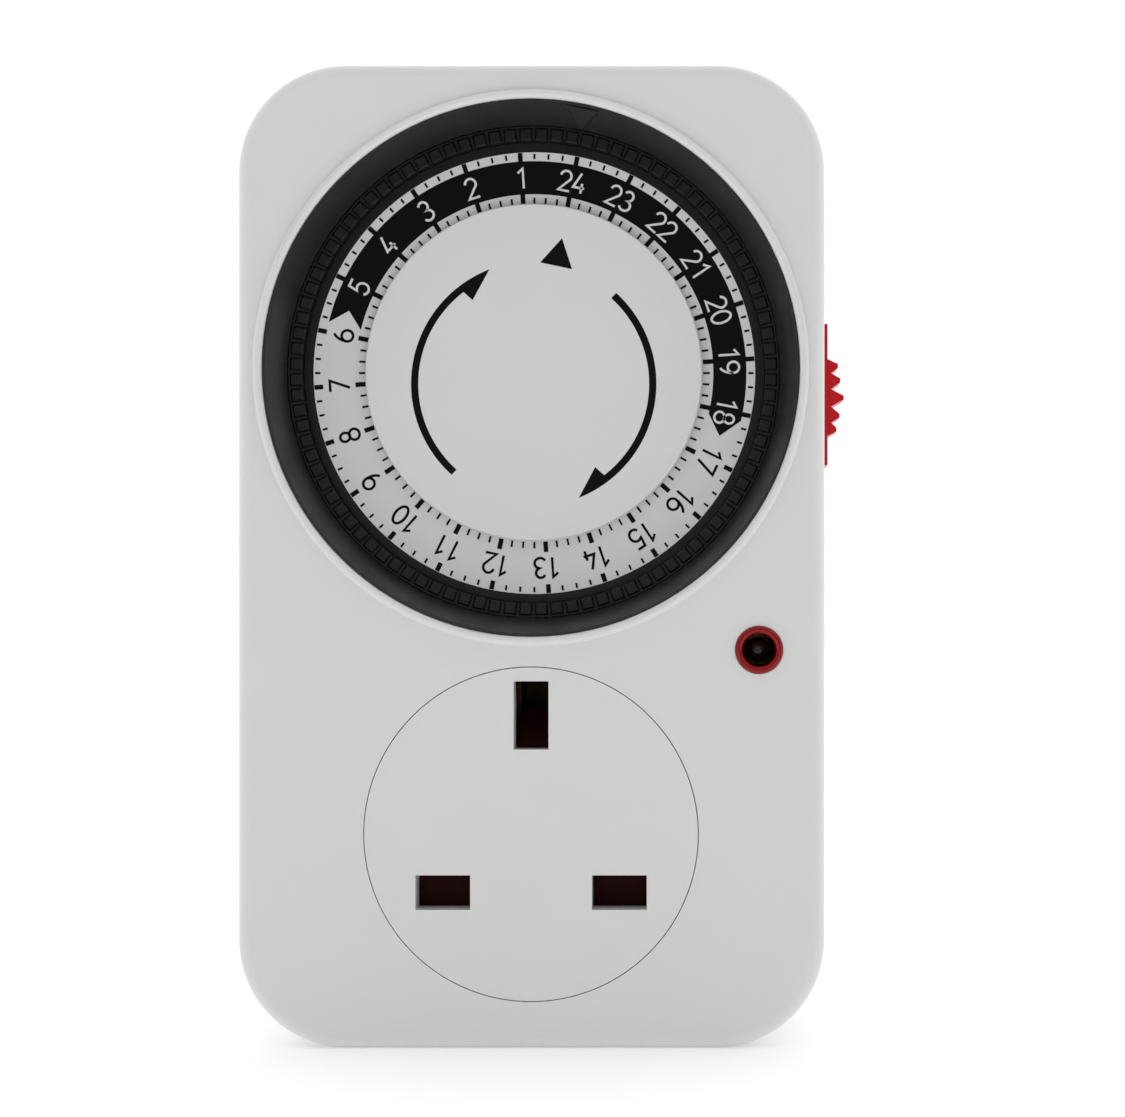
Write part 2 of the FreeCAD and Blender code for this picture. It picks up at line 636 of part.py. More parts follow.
def motor_pole_plate():
    """The front stator plate with the other half of the claws."""
    x, z = at_dial(ARBOR_M)
    back_y = MOTOR_FRONT_Y + MOTOR_PLATE_T
    plate = tube(MOTOR_R, 1.6, (MOTOR_FRONT_Y, back_y), x, z)
    plate = plate.cut(rod(CLAW_R[0], (MOTOR_FRONT_Y + 0.5, back_y), x, z))
    return plate.fuse(claws((back_y - 0.1, MOTOR_BACK_Y - 2.2), 180.0 / MOTOR_POLES))


def coil_bobbin():
    x, z = at_dial(ARBOR_M)
    low, high = MOTOR_FRONT_Y + 1.0, MOTOR_BACK_Y - 0.9
    bore, core = BOBBIN_R
    rim, wall = BOBBIN_FLANGE_R, 0.7
    return turned([(bore, low), (rim, low), (rim, low + wall), (core, low + wall),
                   (core, high - wall), (rim, high - wall), (rim, high), (bore, high)], x, z)


def coil_winding():
    x, z = at_dial(ARBOR_M)
    return tube(WINDING_R, BOBBIN_R[1], (MOTOR_FRONT_Y + 1.7, MOTOR_BACK_Y - 1.6), x, z)


# ---------------------------------------------------------------- switch and override
def trip_lever():
    """The lever that the pushed-in tappets, or the slider, press back on to the switch."""
    y, z = LEVER_PIVOT
    bar = span_box(LEVER_X, (LEVER_FRONT_Y, LEVER_BACK_Y), (z, LEVER_NOSE_Z + 2.5))
    hub = Part.makeCylinder(1.7, LEVER_X[1] - LEVER_X[0], Vector(LEVER_X[0], y, z), X_AXIS)
    tip_y = LEVER_FRONT_Y - 0.6
    nose = side_prism([(LEVER_FRONT_Y, LEVER_NOSE_Z - 1.6), (tip_y, LEVER_NOSE_Z - 0.4),
                       (tip_y, LEVER_NOSE_Z + 0.4), (LEVER_FRONT_Y, LEVER_NOSE_Z + 1.6)], LEVER_X)
    ear_r = 0.9
    ear = Part.makeCylinder(ear_r, 2.1, Vector(LEVER_X[1], LEVER_FRONT_Y + ear_r, LEVER_EAR_Z), X_AXIS)
    shape = bar.fuse(hub).fuse(nose).fuse(ear)
    return shape.cut(Part.makeCylinder(LEVER_PIN_R + RUN_FIT, 10, Vector(LEVER_X[0] - 3, y, z), X_AXIS))


def lever_spring():
    """The small compression spring that pushes the lever forward."""
    return coil_spring(1.2, 0.15, 3.0, 4, Vector(29.6, LEVER_BACK_Y + 0.05, 67.6), Y_AXIS)


def microswitch_case():
    body = span_box(SWITCH_X, SWITCH_Y, SWITCH_Z)
    well = Part.makeBox(2.2, 2.7, 3.2, Vector(28.5, SWITCH_Y[0], PLUNGER_Z - 1.6))
    return body.cut(well)


def microswitch_plunger():
    button = Part.makeBox(2.0, 3.9, 3.0, Vector(28.6, LEVER_BACK_Y + 0.1, PLUNGER_Z - 1.5))
    return button.makeFillet(0.3, edges_at(button, LEVER_BACK_Y + 0.1))


def microswitch_terminals():
    """Two spade terminals out of the back of the switch."""
    x = sum(SWITCH_X) / 2
    w, t, length = TERMINAL
    return Part.makeCompound([mid_box(x, z, w, t, (SWITCH_Y[1], SWITCH_Y[1] + length))
                              for z in (SWITCH_Z[0] + TERMINAL_INSET, SWITCH_Z[1] - TERMINAL_INSET)])


def override_slider():
    """The red slider on the right side: plate, toothed thumb grip, stem and the inner cam."""
    side = CASE_W / 2
    outer_x = side + SLIDER_PROUD
    plate = span_box((side - SLIDER_RECESS + 0.05, outer_x),
                     (SLIDER_Y - SLIDER_PLATE_W / 2, SLIDER_Y + SLIDER_PLATE_W / 2), SLIDER_PLATE_Z)
    grip_half = SLIDER_PLATE_W / 2 - 0.6
    ys = (SLIDER_Y - grip_half, SLIDER_Y + grip_half)
    # each tooth as its height from the grip's middle and its reach from the case side
    teeth = [(4.15, 2.3), (2.25, 2.6), (0.0, 3.05), (-2.35, 2.5), (-4.15, 2.1)]
    valley_x = outer_x + 0.5
    grip_half_z = 5.1
    tip_half = 0.25
    outline = [(outer_x - 0.1, SLIDER_GRIP_Z + grip_half_z)]
    for n, (rise, reach) in enumerate(teeth):
        if n:
            valley = (teeth[n - 1][0] + rise) / 2
            outline.append((valley_x, SLIDER_GRIP_Z + valley))
        outline.append((side + reach, SLIDER_GRIP_Z + rise + tip_half))
        outline.append((side + reach, SLIDER_GRIP_Z + rise - tip_half))
    outline.append((outer_x - 0.1, SLIDER_GRIP_Z - grip_half_z))
    grip = prism(outline, ys)
    stem = span_box((side - WALL - 0.2, side), (SLIDER_Y - 1.5, SLIDER_Y + 1.5), SLIDER_STEM_Z)
    inner_y = (SLIDER_Y - 2.6, SLIDER_Y + 1.2)
    keeper = span_box((side - WALL - 1.2, side - WALL - 0.1), inner_y, KEEPER_Z)
    face_y = LEVER_FRONT_Y - 0.3
    slope = (LEVER_EAR_Z - LEVER_PIVOT[1]) * math.tan(math.radians(LEVER_SWING_DEG)) / SLIDE_TRAVEL
    low, high = CAM_Z
    cam = side_prism([(inner_y[0], low), (face_y - slope * (LEVER_EAR_Z - low), low), (face_y, LEVER_EAR_Z),
                      (face_y, high), (inner_y[0], high)], (LEVER_X[1] + 0.4, side - WALL - 0.1))
    return plate.fuse(grip).fuse(stem).fuse(keeper).fuse(cam)


# ---------------------------------------------------------------- indicator
def neon_lens():
    """The red indicator tube: a bright ring round a dark recess."""
    half = NEON_WALL / 2
    bead = Part.makeTorus(NEON_R - half, half, Vector(NEON_X, FRONT_Y, NEON_Z), Y_AXIS)
    barrel = tube(NEON_R, NEON_R - NEON_WALL, (FRONT_Y, FRONT_Y + 8.0), NEON_X, NEON_Z)
    return barrel.fuse(bead)


def neon_lamp():
    tip_y = FRONT_Y + 6.0
    bulb = rod(NEON_BULB_R, (tip_y, FRONT_Y + 12.0), NEON_X, NEON_Z)
    return bulb.makeFillet(0.75 * NEON_BULB_R, edges_at(bulb, tip_y))


def neon_resistor():
    body = Part.makeCylinder(1.1, 6.0, Vector(NEON_X - 3.0, FRONT_Y + 14.0, NEON_Z), X_AXIS)
    lead = Part.makeCylinder(0.3, 11.0, Vector(NEON_X - 5.5, FRONT_Y + 14.0, NEON_Z), X_AXIS)
    return body.fuse(lead)


# ---------------------------------------------------------------- socket
def socket_face():
    """The round outlet face with three apertures and their collars."""
    disc = rod(SOCKET_R, (FRONT_Y, FRONT_Y + WALL), 0, SOCKET_Z)
    disc = disc.fuse(rod(SOCKET_R + 2.0, (FRONT_Y + WALL, FRONT_Y + SOCKET_PLATE_T), 0, SOCKET_Z))
    holes = socket_holes()
    back = (FRONT_Y + SOCKET_PLATE_T, COLLAR_BACK_Y)
    for x, z, w, h in holes:
        disc = disc.fuse(mid_box(x, z, w + 2.4, h + 2.4, back))
    for x, z, w, h in holes:
        disc = disc.cut(mid_box(x, z, w, h, (FRONT_Y - 1, COLLAR_BACK_Y + 1)))
    return disc


def socket_holes():
    return [(-LINE_X, LINE_Z) + LINE_HOLE, (LINE_X, LINE_Z) + LINE_HOLE, (0.0, EARTH_Z) + EARTH_HOLE]


def shutter():
    """The safety shutter: two blades over the lower apertures and a ramp behind the earth aperture."""
    ys = SHUTTER_Y
    toe_z = EARTH_Z - 3.4
    heel_y = ys[1] + 2.6
    blades = span_box((-LINE_X - 4.2, LINE_X + 4.2), ys, (SHUTTER_LOW_Z, LINE_Z + 3.2))
    stem = span_box((-3.0, 3.0), ys, (SHUTTER_LOW_Z, toe_z))
    ramp = side_prism([(ys[0], toe_z), (heel_y, toe_z + 4.0), (heel_y, toe_z)], (-1.7, 1.7))
    return blades.fuse(stem).fuse(ramp)


def shutter_spring():
    middle_y = sum(SHUTTER_Y) / 2
    return coil_spring(1.4, 0.18, 7.4, 6, Vector(0, middle_y, SHUTTER_LOW_Z - 7.5), Z_AXIS)


def contact_carrier():
    """The moulding behind the shutter that holds the three contacts."""
    front_y, back_y = CARRIER_TRAY_Y
    pocket_y = -6.0
    step_z = 12.0
    foot_z = 6.4
    side = CASE_W / 2 - WALL - 0.1
    tray = span_box((-side, side), CARRIER_TRAY_Y, (step_z, 48.0))
    tray = tray.fuse(span_box((-18.5, 18.5), CARRIER_TRAY_Y, (foot_z, step_z)))
    for x, z, w, h in socket_holes():
        tray = tray.fuse(mid_box(x, z, w + 5.6, h + 5.6, (pocket_y, front_y)))
        tray = tray.cut(mid_box(x, z, w + 3.6, h + 3.6, (pocket_y - 1, front_y)))
        tray = tray.cut(rod(STUD_R, (front_y - 1, back_y + 1), x, z))
    ledge = span_box((-3.0, 3.0), (SHUTTER_Y[0] - 0.1, front_y), (foot_z, SHUTTER_LOW_Z - 7.65))
    return tray.fuse(ledge)


def spring_contact(x, z, w, upright, tail):
    """Two leaves either side of a pin, joined by a plate at the back."""
    ys = (CONTACT_FRONT_Y, CONTACT_BACK_Y)
    back_y = (CONTACT_BACK_Y - LEAF_T, CONTACT_BACK_Y)
    outer = LEAF_GAP + 2 * LEAF_T
    if upright:
        block = mid_box(x, z, outer, w, ys)
        gap = mid_box(x, z, LEAF_GAP, w, (ys[0], back_y[0]))
    else:
        block = mid_box(x, z, w, outer, ys)
        gap = mid_box(x, z, w, LEAF_GAP, (ys[0], back_y[0]))
    return block.cut(gap).fuse(rod(STUD_R, (CONTACT_BACK_Y, tail), x, z))


# ---------------------------------------------------------------- plug
def pin_sections():
    """The three plug pins as (x, z, width, height)."""
    return [(LINE_X, PIN_LINE_Z) + PIN_LINE[:2], (-LINE_X, PIN_LINE_Z) + PIN_LINE[:2],
            (0.0, PIN_EARTH_Z) + PIN_EARTH[:2]]


def plug_pin(x, z, w, h, length, sleeved):
    """A brass pin with a bevelled nose; a sleeved pin is slimmer where its sleeve sits."""
    tip = BACK_Y + length
    pin = mid_box(x, z, w, h, (PIN_HEAD_Y, tip))
    pin = pin.makeChamfer(PIN_NOSE, edges_at(pin, tip))
    if sleeved:
        band = (BACK_Y, BACK_Y + SLEEVE_LEN)
        outer = mid_box(x, z, w + 1, h + 1, band)
        pin = pin.cut(outer.cut(mid_box(x, z, w - 2 * SLEEVE_T, h - 2 * SLEEVE_T, band)))
    head = mid_box(x, z, w + 2.4, h + 2.4, (PIN_HEAD_Y, BACK_Y - WALL))
    return pin.fuse(head)


def pin_sleeves():
    group = []
    for x in (-LINE_X, LINE_X):
        w, h = PIN_LINE[:2]
        band = (BACK_Y, BACK_Y + SLEEVE_LEN)
        sleeve = mid_box(x, PIN_LINE_Z, w, h, band)
        group.append(sleeve.cut(mid_box(x, PIN_LINE_Z, w - 2 * SLEEVE_T, h - 2 * SLEEVE_T, band)))
    return Part.makeCompound(group)


def neutral_strap():
    """From the neutral pin down to the neutral contact."""
    path = [(STRAP_Y, PIN_LINE_Z + 2), (STRAP_Y, LINE_Z - 2)]
    return strip(path, STRAP_W, STRAP_T, -LINE_X)


def earth_strap():
    path = [(STRAP_Y, PIN_EARTH_Z + 2), (STRAP_Y, EARTH_Z - 2)]
    return strip(path, STRAP_W, STRAP_T, 0.0)


def live_strap():
    """From the live pin across to the upper switch terminal."""
    half = STRAP_T / 2
    z = SWITCH_Z[1] - TERMINAL_INSET + half
    ys = (STRAP_Y - half, STRAP_Y + half)
    low_x, high_x = SWITCH_STRAP_X
    bar = span_box((LINE_X - STRAP_W / 2, high_x), ys, (PIN_LINE_Z - 2.0, PIN_LINE_Z + 2.0))
    rise = span_box((low_x, high_x), ys, (PIN_LINE_Z - 2.0, z + half))
    foot = span_box((low_x, high_x), (SWITCH_Y[1] + 0.6, ys[1]), (z, z + STRAP_T))
    return bar.fuse(rise).fuse(foot).removeSplitter()


def load_strap():
    """From the lower switch terminal down to the line contact."""
    half = STRAP_T / 2
    z = SWITCH_Z[0] + TERMINAL_INSET - half
    ys = (LOAD_STRAP_Y - half, LOAD_STRAP_Y + half)
    low_x, high_x = SWITCH_STRAP_X
    foot = span_box((low_x, high_x), (SWITCH_Y[1] + 0.6, ys[1]), (z - STRAP_T, z))
    drop = span_box((low_x, high_x), ys, (LINE_Z - 2.0, z))
    bar = span_box((LINE_X - STRAP_W / 2, high_x), ys, (LINE_Z - 2.0, LINE_Z + 2.0))
    return foot.fuse(drop).fuse(bar).removeSplitter()


# ---------------------------------------------------------------- the assembly
def build():
    nodes = {
        "front_case": front_case(),
        "rear_case": rear_case(),
        "case_screws": case_screws(),
        "dial_bezel": dial_bezel(),
        "dial_carrier": dial_carrier(),
        "scale_disc": scale_disc(),
        "centre_disc": centre_disc(),
        "movement_plate": movement_plate(),
        "movement_chassis": chassis(),
        "chassis_screws": chassis_screws(),
        "steel_arbors": steel_arbors(),
        "gear_1": compound_gear(1, ARBOR_A, ARBOR_M, ARBOR_B),
        "gear_2": compound_gear(2, ARBOR_B, ARBOR_A, ARBOR_A),
        "gear_3": compound_gear(3, ARBOR_A, ARBOR_B, ARBOR_B),
        "gear_4": compound_gear(4, ARBOR_B, ARBOR_A, OUTPUT, CLUTCH_PINION_TEETH, CLUTCH_MODULE),
        "clutch_wheel": clutch_wheel(),
        "clutch_washer": clutch_washer(),
        "output_pinion": output_pinion(),
        "rotor_hub": rotor_hub(),
        "rotor_magnet": rotor_magnet(),
        "motor_cup": motor_cup(),
        "motor_pole_plate": motor_pole_plate(),
        "coil_bobbin": coil_bobbin(),
        "coil_winding": coil_winding(),
        "trip_lever": trip_lever(),
        "lever_spring": lever_spring(),
        "microswitch_case": microswitch_case(),
        "microswitch_plunger": microswitch_plunger(),
        "microswitch_terminals": microswitch_terminals(),
        "override_slider": override_slider(),
        "neon_lens": neon_lens(),
        "neon_lamp": neon_lamp(),
        "neon_resistor": neon_resistor(),
        "socket_face": socket_face(),
        "shutter": shutter(),
        "shutter_spring": shutter_spring(),
        "contact_carrier": contact_carrier(),
        "line_contact": spring_contact(LINE_X, LINE_Z, 6.0, False, LOAD_STRAP_Y - STRAP_T / 2),
        "neutral_contact": spring_contact(-LINE_X, LINE_Z, 6.0, False, STRAP_Y - STRAP_T / 2),
        "earth_contact": spring_contact(0.0, EARTH_Z, 7.6, True, STRAP_Y - STRAP_T / 2),
        "line_pin": plug_pin(LINE_X, PIN_LINE_Z, *PIN_LINE, True),
        "neutral_pin": plug_pin(-LINE_X, PIN_LINE_Z, *PIN_LINE, True),
        "earth_pin": plug_pin(0.0, PIN_EARTH_Z, *PIN_EARTH, False),
        "pin_sleeves": pin_sleeves(),
        "neutral_strap": neutral_strap(),
        "earth_strap": earth_strap(),
        "live_strap": live_strap(),
        "load_strap": load_strap(),
    }
    for number in range(TAPPET_GROUPS):
        nodes["tappets_%02d" % (number + 1)] = tappet_group(number)
    return nodes


def main():
    os.makedirs("parts", exist_ok=True)
    for name, shape in build().items():
        shape.exportStep("parts/%s.step" % name)
        print("%-24s solids %3d  volume %10.2f  valid %s"
              % (name, len(shape.Solids), shape.Volume, shape.isValid()))


main()
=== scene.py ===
"""Looks for the plug-in 24-hour timer: finishes on the CAD frame, the dial's print, the set, the camera."""
import json
import math

import bmesh
import bpy
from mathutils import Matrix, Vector


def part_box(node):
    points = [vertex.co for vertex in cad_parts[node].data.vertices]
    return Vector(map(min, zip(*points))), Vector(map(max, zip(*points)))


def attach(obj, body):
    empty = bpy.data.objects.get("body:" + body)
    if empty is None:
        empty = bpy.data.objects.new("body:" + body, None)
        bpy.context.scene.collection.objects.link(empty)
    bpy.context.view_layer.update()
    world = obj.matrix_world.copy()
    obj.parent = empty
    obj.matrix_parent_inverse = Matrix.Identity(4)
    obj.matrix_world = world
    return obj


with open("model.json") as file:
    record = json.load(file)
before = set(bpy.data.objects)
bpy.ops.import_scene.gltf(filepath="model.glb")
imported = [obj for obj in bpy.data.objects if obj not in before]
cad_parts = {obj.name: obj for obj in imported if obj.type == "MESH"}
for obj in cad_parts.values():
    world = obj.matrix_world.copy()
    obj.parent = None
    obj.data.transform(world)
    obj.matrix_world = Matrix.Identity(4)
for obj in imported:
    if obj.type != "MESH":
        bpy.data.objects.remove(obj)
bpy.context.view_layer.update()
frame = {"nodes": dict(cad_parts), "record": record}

MM = 0.001
UM = 1e-6


# ---------------------------------------------------------------- materials
class Look:
    """A Principled material whose colour, gloss and relief come from noise in the piece's own space."""

    def __init__(self, name, **sockets):
        self.material = bpy.data.materials.new(name)
        self.material.use_nodes = True
        self.tree = self.material.node_tree
        self.shader = self.tree.nodes["Principled BSDF"]
        for socket, value in sockets.items():
            self.shader.inputs[socket.replace("_", " ")].default_value = value
        self.place = self.tree.nodes.new("ShaderNodeTexCoord").outputs["Object"]

    def link(self, start, end):
        """Joins an output to an input."""
        self.tree.links.new(start, end)

    def noise(self, size_mm, detail=3.0, stretch=(1, 1, 1)):
        """Noise with features about size_mm across, drawn out along each axis by stretch."""
        mapping = self.tree.nodes.new("ShaderNodeMapping")
        mapping.inputs["Scale"].default_value = [1 / (size_mm * MM * s) for s in stretch]
        self.link(self.place, mapping.inputs["Vector"])
        noise = self.tree.nodes.new("ShaderNodeTexNoise")
        noise.inputs["Scale"].default_value = 1.0
        noise.inputs["Detail"].default_value = detail
        self.link(mapping.outputs["Vector"], noise.inputs["Vector"])
        return noise.outputs["Fac"]

    def wave(self, pitch_mm, axis, wobble=0.0):
        """Rings or bands a pitch apart along one axis of the piece."""
        wave = self.tree.nodes.new("ShaderNodeTexWave")
        wave.bands_direction = axis
        wave.inputs["Scale"].default_value = math.pi / (10 * pitch_mm * MM)
        wave.inputs["Distortion"].default_value = wobble
        self.link(self.place, wave.inputs["Vector"])
        return wave.outputs["Fac"]

    def colour(self, factor, *stops):
        """Base colour from a ramp; a stop is (place, (r, g, b))."""
        ramp = self.tree.nodes.new("ShaderNodeValToRGB")
        while len(ramp.color_ramp.elements) < len(stops):
            ramp.color_ramp.elements.new(0.5)
        for element, (place, rgb) in zip(ramp.color_ramp.elements, stops):
            element.position = place
            element.color = (*rgb, 1.0)
        self.link(factor, ramp.inputs["Fac"])
        self.link(ramp.outputs["Color"], self.shader.inputs["Base Color"])
        return self

    def gloss(self, factor, low, high):
        """Roughness between two values."""
        span = self.tree.nodes.new("ShaderNodeMapRange")
        span.inputs["From Min"].default_value = 0.3
        span.inputs["From Max"].default_value = 0.7
        span.inputs["To Min"].default_value = low
        span.inputs["To Max"].default_value = high
        self.link(factor, span.inputs["Value"])
        self.link(span.outputs["Result"], self.shader.inputs["Roughness"])
        return self

    def relief(self, factor, height_um):
        """Bump of the given height; a second call adds to the first."""
        bump = self.tree.nodes.new("ShaderNodeBump")
        bump.inputs["Strength"].default_value = 1.0
        bump.inputs["Distance"].default_value = height_um * UM
        self.link(factor, bump.inputs["Height"])
        normal = self.shader.inputs["Normal"]
        if normal.links:
            self.link(normal.links[0].from_socket, bump.inputs["Normal"])
        self.link(bump.outputs["Normal"], normal)
        return self


def shade(rgb, amount):
    """The colour made lighter or darker."""
    return tuple(c * amount for c in rgb)


# sizes of the slow variations that every moulded face has
FLOW_MM = 9.0
GLOSS_MM = 3.0
SINK_MM = 14.0
SINK_UM = 12.0


def moulded(name, rgb, rough, grain_um=2.0, grain_mm=0.16, mottle=0.03, **sockets):
    """Injection-moulded plastic: faint flow mottle, a fine spark-eroded grain and slow waviness."""
    look = Look(name, **sockets)
    look.colour(look.noise(FLOW_MM, 4.0), (0.3, shade(rgb, 1 - mottle)), (0.7, shade(rgb, 1 + mottle)))
    look.gloss(look.noise(GLOSS_MM, 4.0), rough - 0.04, rough + 0.04)
    look.relief(look.noise(grain_mm, 2.0), grain_um)
    look.relief(look.noise(SINK_MM, 1.0), SINK_UM)
    return look.material


def metal(name, rgb, rough, stretch=(1, 1, 1), mottle=0.08, scratch_um=1.2):
    """Bare metal with fine lines drawn out along the piece and a slightly uneven tarnish."""
    look = Look(name, Metallic=1.0)
    look.colour(look.noise(2.5, 5.0), (0.3, shade(rgb, 1 - mottle)), (0.7, rgb))
    look.gloss(look.noise(1.2, 4.0), rough - 0.05, rough + 0.08)
    look.relief(look.noise(0.08, 3.0, stretch), scratch_um)
    return look.material


def ink(name, rgb, rough, shine):
    """Screen-printed ink: nearly even, with the faint tooth of the printing mesh."""
    look = Look(name, Specular_IOR_Level=shine)
    look.colour(look.noise(0.5, 3.0), (0.3, shade(rgb, 0.94)), (0.7, rgb))
    look.gloss(look.noise(0.8, 2.0), rough - 0.03, rough + 0.05)
    look.relief(look.noise(0.12, 2.0), 0.8)
    return look.material


def wound_wire():
    """Enamelled wire wound in turns along Y."""
    wire_mm = 0.22
    look = Look("copper_wire", Metallic=0.85, Coat_Weight=0.6, Coat_Roughness=0.12)
    turns = look.wave(wire_mm, "Y", 0.6)
    look.colour(turns, (0.0, (0.20, 0.07, 0.02)), (0.6, (0.62, 0.27, 0.10)))
    look.gloss(look.noise(0.6), 0.22, 0.34)
    return look.relief(turns, 60.0).material


def banded_ceramic():
    """A resistor's body with soft colour bands along X."""
    band_mm = 1.3
    body = (0.66, 0.55, 0.36)
    band = (0.30, 0.10, 0.04)
    look = Look("resistor")
    bands = look.wave(band_mm, "X", 0.1)
    look.colour(bands, (0.55, body), (0.62, band), (0.9, band))
    look.gloss(look.noise(0.6), 0.35, 0.5)
    return look.relief(look.noise(0.3), 3.0).material


def sintered():
    """The dark grain of a ferrite magnet."""
    look = Look("ferrite", Metallic=0.2)
    look.colour(look.noise(0.5, 6.0), (0.3, (0.05, 0.05, 0.055)), (0.7, (0.12, 0.12, 0.125)))
    look.gloss(look.noise(0.4), 0.5, 0.7)
    return look.relief(look.noise(0.15, 4.0), 8.0).material


WHITE = (0.78, 0.78, 0.775)
BLACK = (0.006, 0.006, 0.0065)
# the bezel's black is lighter than the other black plastic: a painted sheen for the light its funnel walls
# catch
BEZEL_SHEEN_BLACK = (0.017, 0.017, 0.018)
finishes = {
    "white_plastic": moulded("white_abs", WHITE, 0.32, grain_um=0.5, mottle=0.006),
    "scale_print": moulded("white_face", (0.78, 0.78, 0.78), 0.40, grain_um=0.5, mottle=0.006),
    "black_plastic": moulded("black_abs", BLACK, 0.40, mottle=0.15, Specular_IOR_Level=0.3),
    "sleeve_black": moulded("black_nylon", (0.012, 0.012, 0.013), 0.42, mottle=0.15),
    "red_plastic": moulded("red_abs", (0.56, 0.003, 0.010), 0.30, mottle=0.05, Specular_IOR_Level=0.35),
    "neon_red": moulded("neon_red", (0.26, 0.001, 0.003), 0.12, grain_um=0.4, mottle=0.06,
                        Specular_IOR_Level=0.3),
    # the shutter's red is darkened nearly to black: painted shade for the shadow behind the socket holes
    "shutter_red": moulded("shutter_red", (0.022, 0.001, 0.002), 0.6, mottle=0.06, Specular_IOR_Level=0.1),
    "natural_plastic": moulded("acetal", (0.62, 0.60, 0.54), 0.36, mottle=0.02,
                               Subsurface_Weight=0.1, Subsurface_Scale=0.001),
    "steel": metal("steel", (0.56, 0.56, 0.57), 0.28),
    "ferrite": sintered(),
    "copper_wire": wound_wire(),
    "brass": metal("brass", (0.66, 0.46, 0.19), 0.26, stretch=(1, 14, 1), mottle=0.05),
    # the lamp glass is dark and only partly clear: painted shade that keeps the lens's hollow centre black
    "lamp_glass": moulded("lamp_glass", (0.10, 0.05, 0.04), 0.08, grain_um=0.2, mottle=0.01,
                          Transmission_Weight=0.6),
    "resistor": banded_ceramic(),
}
# pieces that look different from the rest of their material slot
# the bezel takes the lighter black with its painted sheen
special = {"dial_bezel": moulded("bezel_abs_painted_sheen", BEZEL_SHEEN_BLACK, 0.36, mottle=0.08)}
# the contacts deep in the socket holes get brass painted nearly black: painted shade for the shadow inside
# the holes
contact_shade_brass = metal("painted_shade_brass", (0.05, 0.034, 0.016), 0.45, stretch=(1, 14, 1), mottle=0.15)
for contact in ("line_contact", "neutral_contact", "earth_contact"):
    special[contact] = contact_shade_brass
BLACK_INK = ink("black_ink", (0.003, 0.003, 0.003), 0.45, 0.1)
WHITE_INK = ink("white_ink", (0.80, 0.80, 0.80), 0.42, 0.4)


def dress(node, material):
    """Gives a CAD node one finish in every material slot."""
    slots = node.data.materials
    for index in range(len(slots)):
        slots[index] = material
    if not slots:
        slots.append(material)


for part in frame["record"]["subparts"]:
    name = part["node"]
    dress(frame["nodes"][name], special.get(name, finishes[part["material_slot"]]))


# ---------------------------------------------------------------- printed dial
disc_low, disc_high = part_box("scale_disc")
middle_low, middle_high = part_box("centre_disc")
DIAL_Z = (disc_low.z + disc_high.z) / 2
SCALE_R = (disc_high.x - disc_low.x) / 2
CENTRE_R = (middle_high.x - middle_low.x) / 2
FILM = 0.02 * MM         # thickness of one coat of ink
HOURS = 24
QUARTERS = 96
NOW = 11.25              # where the present time stands, in degrees clockwise from the top

# radii of the printed rings, from the middle disc's edge outwards
BAND_R = (23.0 * MM, 27.25 * MM)
MINOR_OUTER = (BAND_R[1] + 0.25 * MM, SCALE_R - 0.22 * MM)
MINOR_INNER = (CENTRE_R + 0.1 * MM, CENTRE_R + 0.95 * MM)
HOUR_OUTER = (BAND_R[1] - 0.05 * MM, SCALE_R - 0.06 * MM)
HOUR_INNER = (CENTRE_R + 0.1 * MM, BAND_R[0] + 0.05 * MM)
HOUR_TICK_W = 0.60 * MM
QUARTER_TICK_W = 0.27 * MM
DIGIT_R = 25.05 * MM
DIGIT_H = 2.55 * MM
DAY_STROKE = 0.34 * MM
NIGHT_STROKE = 0.30 * MM

# the night band's ends, in hours: the notch and the points of its tail, then its shoulder and tip
TAIL_NOTCH = 5.51
TAIL_POINTS = 5.82
HEAD_SHOULDER = 17.88
HEAD_TIP = 17.5

# the marks on the middle disc
NOW_BASE_R = 13.9 * MM
NOW_TIP_R = 17.5 * MM
NOW_HALF_W = 2.08 * MM
NOW_LEAN = 0.7           # degrees past the present time
ARROW_DROP = 1.5 * MM    # the arrows' centre below the dial's
ARROW_R = 15.24 * MM
ARROW_W = 0.92 * MM
BARB_R = 13.25 * MM


def polar(radius, degrees):
    """A point of the dial's plane; degrees run clockwise from the top."""
    a = math.radians(degrees)
    return (radius * math.sin(a), radius * math.cos(a))


def hour_angle(hour):
    """Where the mark of an hour stands; the hours run backwards round the disc."""
    return NOW - 360 / HOURS * hour


def film(name, faces, front_y, body, material, depth=FILM):
    """A thin slab of ink on the plane y = front_y; faces are lists of (x, z) from the dial's centre."""
    mesh = bmesh.new()
    known = {}
    weld = 1e-7

    def corner(point):
        """One vertex for all the points that fall within the welding distance."""
        key = (round(point[0] / weld), round(point[1] / weld))
        if key not in known:
            known[key] = mesh.verts.new((point[0], front_y - depth, DIAL_Z + point[1]))
        return known[key]

    for face in faces:
        corners = list(dict.fromkeys(corner(p) for p in face))
        if len(corners) > 2 and not mesh.faces.get(corners):
            mesh.faces.new(corners)
    bmesh.ops.recalc_face_normals(mesh, faces=mesh.faces)
    sides = bmesh.ops.extrude_face_region(mesh, geom=list(mesh.faces))["geom"]
    moved = [g for g in sides if isinstance(g, bmesh.types.BMVert)]
    bmesh.ops.translate(mesh, verts=moved, vec=(0, depth, 0))
    bmesh.ops.recalc_face_normals(mesh, faces=mesh.faces)
    data = bpy.data.meshes.new(name)
    mesh.to_mesh(data)
    mesh.free()
    piece = bpy.data.objects.new(name, data)
    bpy.context.scene.collection.objects.link(piece)
    data.materials.append(material)
    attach(piece, body)
    return piece


